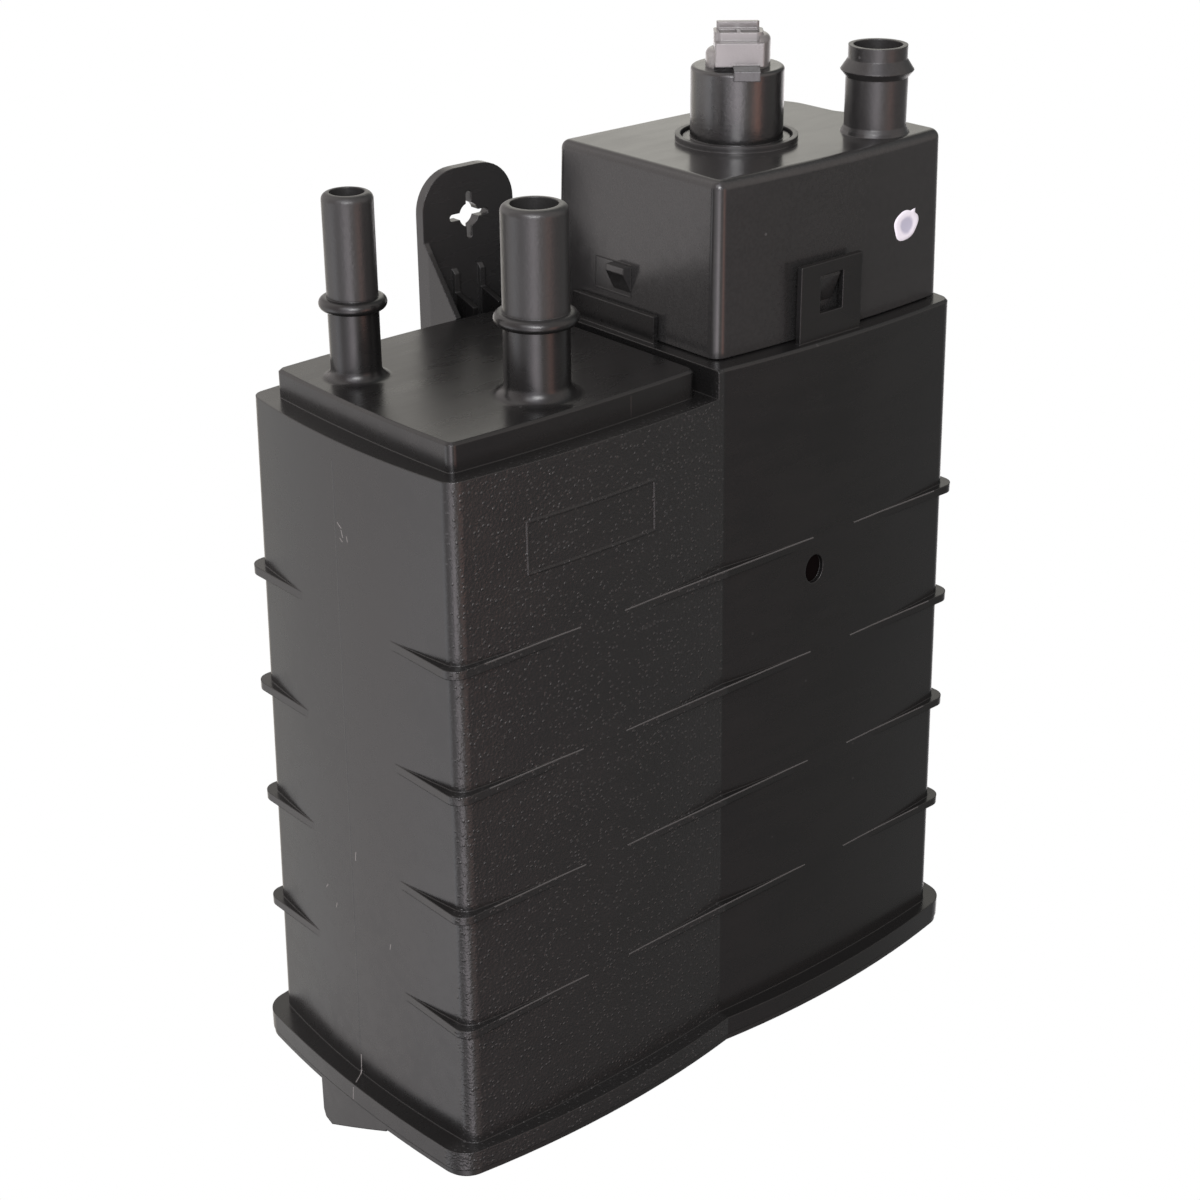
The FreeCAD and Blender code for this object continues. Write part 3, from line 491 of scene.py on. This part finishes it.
def build(name, points, faces, material):
    """A thin detail of the black plastic's outside."""
    mesh = bpy.data.meshes.new(name)
    mesh.from_pydata(points, [], faces)
    mesh.validate()
    piece = bpy.data.objects.new(name, mesh)
    bpy.context.scene.collection.objects.link(piece)
    mesh.materials.append(material)
    for face in mesh.polygons:
        face.use_smooth = True
    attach(piece, "canister")


def wall_line(name, shape, start, end, way, material, width, height, count):
    """A thin raised line on a wall between two spots, seen along way. Sizes are in millimetres."""
    path = on_wall(shape, start, end, way, count)
    out = -Vector(way)
    wide = width * MM
    tall = height * MM
    points = []
    faces = []
    steps = 4
    for index, spot in enumerate(path):
        before = path[max(index - 1, 0)]
        after = path[min(index + 1, count - 1)]
        across = (after - before).normalized().cross(out).normalized()
        for step in range(steps + 1):
            share = step / steps
            lift = math.sin(math.pi * share) * tall
            points.append(spot + across * (share - 0.5) * wide + out * lift)
    row = steps + 1
    for index in range(count - 1):
        for step in range(steps):
            low = index * row + step
            faces.append((low, low + 1, low + row + 1, low + row))
    build(name, points, faces, material)


def add_parting_line(body, material, pale):
    """The mould's parting line down the left end wall, and the pale flash where it meets the foot flange."""
    wall_line("parting_line", body, (0, parting_y, parting_top), (0, parting_y, parting_foot), to_right,
              material, width=0.5, height=0.07, count=90)
    wall_line("parting_flash", body, (0, parting_y - 0.2, 26), (0, parting_y, 20.6), to_right,
              pale, width=0.35, height=0.12, count=8)
    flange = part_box("canister_body")[0].x / MM
    inner_end = (flange + 4.6, parting_y, 0)
    outer_end = (flange + 0.9, parting_y - 2.5, 0)
    wall_line("flange_flash", body, inner_end, outer_end, to_below, pale, width=0.3, height=0.1, count=10)
    wall_line("edge_flash", body, (0, parting_y - 2.6, 19.2), (0, parting_y - 2.2, 15), to_right,
              pale, width=0.3, height=0.03, count=6)


def add_rib_lines(body, material):
    """The thin edges of the front ribs, coloured pale as a painted highlight, which go on where the ribs run
    out into the bowed wall.
    """
    for index in range(rib_count):
        top = rib_top + index * rib_pitch
        for part, (start, end) in enumerate(rib_spans):
            wall_line("rib_line_%d_%d" % (index, part), body, (start, 0, top), (end, 0, top), to_back,
                      material, width=0.45, height=0.1, count=60)


def add_scuffs(body, pale):
    """Small pale scuffs on the left end wall."""
    for index, (start, end) in enumerate(scuff_ends):
        wall_line("scuff_%d" % index, body, start, end, to_right, pale, width=0.32, height=0.05, count=5)


def add_box_frame(box, material):
    """The thin ridges round the side wedge of the vent box."""
    for index, start in enumerate(wedge_corners):
        end = wedge_corners[(index + 1) % len(wedge_corners)]
        wall_line("wedge_frame_%d" % index, box, start, end, to_right, material,
                  width=0.45, height=0.09, count=16)


def add_pad_line(body, material):
    """The faint witness line on the front of the pad."""
    wall_line("pad_line", body, *pad_line_ends, to_back, material, width=0.4, height=0.07, count=12)


def add_paint_dab(box, material):
    """The dab of white paint on the vent box: an uneven ring round a thinner middle, with a tail."""
    rings = 10
    around = 48
    points = []
    faces = []
    for ring in range(rings + 1):
        share = ring / rings
        for step in range(around):
            angle = 2 * math.pi * step / around
            wobble = 1 + 0.05 * math.sin(3 * angle + 1) + 0.03 * math.sin(5 * angle)
            tail = tail_reach * math.exp(-((angle - tail_angle) / tail_spread) ** 2)
            reach = share * (wobble + tail)
            x = dab_x + dab_half_width * reach * math.cos(angle)
            z = dab_z + dab_half_height * reach * math.sin(angle)
            thick = (dab_middle + dab_rim * share ** 2) * math.sqrt(max(1 - share ** 6, 0)) * MM
            points.append(on_front(box, x, z) + Vector((0, -thick, 0)))
    for ring in range(rings):
        for step in range(around):
            after = (step + 1) % around
            low = ring * around
            faces.append((low + step, low + after, low + around + after, low + around + step))
    build("paint_dab", points, faces, material)


def add_dimple_floor(body, material):
    """A dark disc on the floor of the oval recess in the front wall: painted shade."""
    around = 32
    spots = [(dimple_x, dimple_z)]
    for step in range(around):
        angle = 2 * math.pi * step / around
        spots.append((dimple_x + (dimple_half_width - dimple_inset) * math.cos(angle),
                      dimple_z + (dimple_half_height - dimple_inset) * math.sin(angle)))
    points = [on_front(body, x, z) + Vector((0, -dimple_lift, 0)) for x, z in spots]
    faces = [(0, step + 1, (step + 1) % around + 1) for step in range(around)]
    build("dimple_floor", points, faces, material)


def add_spring():
    """A copy of the return spring with a mesh of its own, in place of the CAD node."""
    spring = bpy.data.objects.new("spring_coil", nodes["return_spring"].data.copy())
    bpy.context.scene.collection.objects.link(spring)
    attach(spring, "canister")
    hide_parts("return_spring")
    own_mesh(spring)


def add_camera():
    """The camera, turned by its azimuth, elevation and roll."""
    azimuth = math.radians(camera_azimuth)
    elevation = math.radians(camera_elevation)
    level = math.cos(elevation)
    back = Vector((math.sin(azimuth) * level, -math.cos(azimuth) * level, math.sin(elevation)))
    right = Vector((math.cos(azimuth), math.sin(azimuth), 0))
    up = back.cross(right)
    level_view = Matrix((right, up, back)).transposed().to_4x4()
    turned = level_view @ Matrix.Rotation(math.radians(camera_roll), 4, "Z")
    data = bpy.data.cameras.new("camera")
    data.lens = camera_lens
    data.sensor_width = sensor_width
    camera = bpy.data.objects.new("camera", data)
    camera.matrix_world = Matrix.Translation(camera_place) @ turned
    bpy.context.scene.collection.objects.link(camera)
    bpy.context.scene.camera = camera


def ramp(tree, turn, stops):
    """Colour round the horizon, which comes back to the first stop after a full turn."""
    made = node(tree, "ValToRGB", Fac=turn)
    strip = made.color_ramp
    strip.elements[0].position = stops[0][0]
    strip.elements[0].color = (*stops[0][1], 1)
    strip.elements[1].position = 1.0
    strip.elements[1].color = (*stops[0][1], 1)
    for position, colour in stops[1:]:
        strip.elements.new(position).color = (*colour, 1)
    return made.outputs["Color"]


def add_surroundings():
    """A white studio to the camera, and soft panels of light around and below for the plastic to reflect."""
    world = bpy.data.worlds.new("studio")
    bpy.context.scene.world = world
    world.use_nodes = True
    tree = world.node_tree
    tree.nodes.clear()
    way = node(tree, "TexCoord").outputs["Generated"]
    turn = node(tree, "TexGradient", {"gradient_type": "RADIAL"}, Vector=way).outputs["Fac"]
    height = node(tree, "SeparateXYZ", Vector=way).outputs["Z"]
    upper_share = remap(tree, height, *eye_level)
    walls = blend(tree, upper_share, ramp(tree, turn, low_light), ramp(tree, turn, high_light))
    around = blend(tree, remap(tree, height, *under_level, 1.0, 0.0), walls, under_light)
    panel = times(tree, within(tree, turn, *warm_turn), within(tree, height, *warm_height))
    lit = blend(tree, panel, around, warm_panel, "ADD")
    seen = node(tree, "Background", Color=(1, 1, 1, 1), Strength=1.0)
    cast = node(tree, "Background", Color=lit, Strength=1.0)
    choice = node(tree, "MixShader", Fac=node(tree, "LightPath").outputs["Is Camera Ray"])
    tree.links.new(cast.outputs[0], choice.inputs[1])
    tree.links.new(seen.outputs[0], choice.inputs[2])
    node(tree, "OutputWorld", Surface=choice.outputs[0])


def add_floor():
    """A plain white floor."""
    signs = [(-1, -1), (1, -1), (1, 1), (-1, 1)]
    mesh = bpy.data.meshes.new("floor")
    mesh.from_pydata([(x * floor_half, y * floor_half, 0) for x, y in signs], [], [(0, 1, 2, 3)])
    floor = bpy.data.objects.new("floor", mesh)
    bpy.context.scene.collection.objects.link(floor)
    made = bpy.data.materials.new("white_floor")
    made.use_nodes = True
    tree = made.node_tree
    tree.nodes.clear()
    light = node(tree, "Emission", Color=(1, 1, 1, 1), Strength=1.0)
    node(tree, "OutputMaterial", Surface=light.outputs[0])
    mesh.materials.append(made)
    floor.visible_glossy = False
    floor.visible_diffuse = False
    floor.location.z = floor_height


def add_light(name, place, side, power):
    """A square lamp aimed at the middle of the object."""
    data = bpy.data.lights.new(name, "AREA")
    data.shape = "SQUARE"
    data.size = side
    data.energy = power
    lamp = bpy.data.objects.new(name, data)
    lamp.location = place
    aim = Vector(lamp_aim) - Vector(place)
    lamp.rotation_mode = "QUATERNION"
    lamp.rotation_quaternion = aim.to_track_quat("-Z", "Y")
    bpy.context.scene.collection.objects.link(lamp)


bpy.context.scene.view_settings.view_transform = "Standard"
dress()
body_shape = surface("canister_body")
box_shape = surface("vent_box")
seam_plastic = black_plastic("seam_plastic")
pale_plastic = plain("scuffed_plastic", (0.16, 0.15, 0.145), 0.5)
add_parting_line(body_shape, seam_plastic, pale_plastic)
# Pale rib lines: a painted highlight along the ribs' upper edges
add_rib_lines(body_shape, plain("painted_rib_highlight", (0.06, 0.059, 0.058), 0.4))
add_scuffs(body_shape, pale_plastic)
add_pad_line(body_shape, seam_plastic)
add_box_frame(box_shape, seam_plastic)
# A matte black disc in the recess stands for shade there: painted shade
add_dimple_floor(body_shape, plain("painted_recess_shade", (0.004, 0.003, 0.003), 0.8, shine=0.0))
add_paint_dab(box_shape, paint())
add_spring()
add_camera()
add_surroundings()
add_floor()
add_light("softbox", (-0.9, -0.5, 1.1), 0.8, 4.0)
add_light("flash", (-0.41, -0.465, 0.50), 0.26, 2.6)
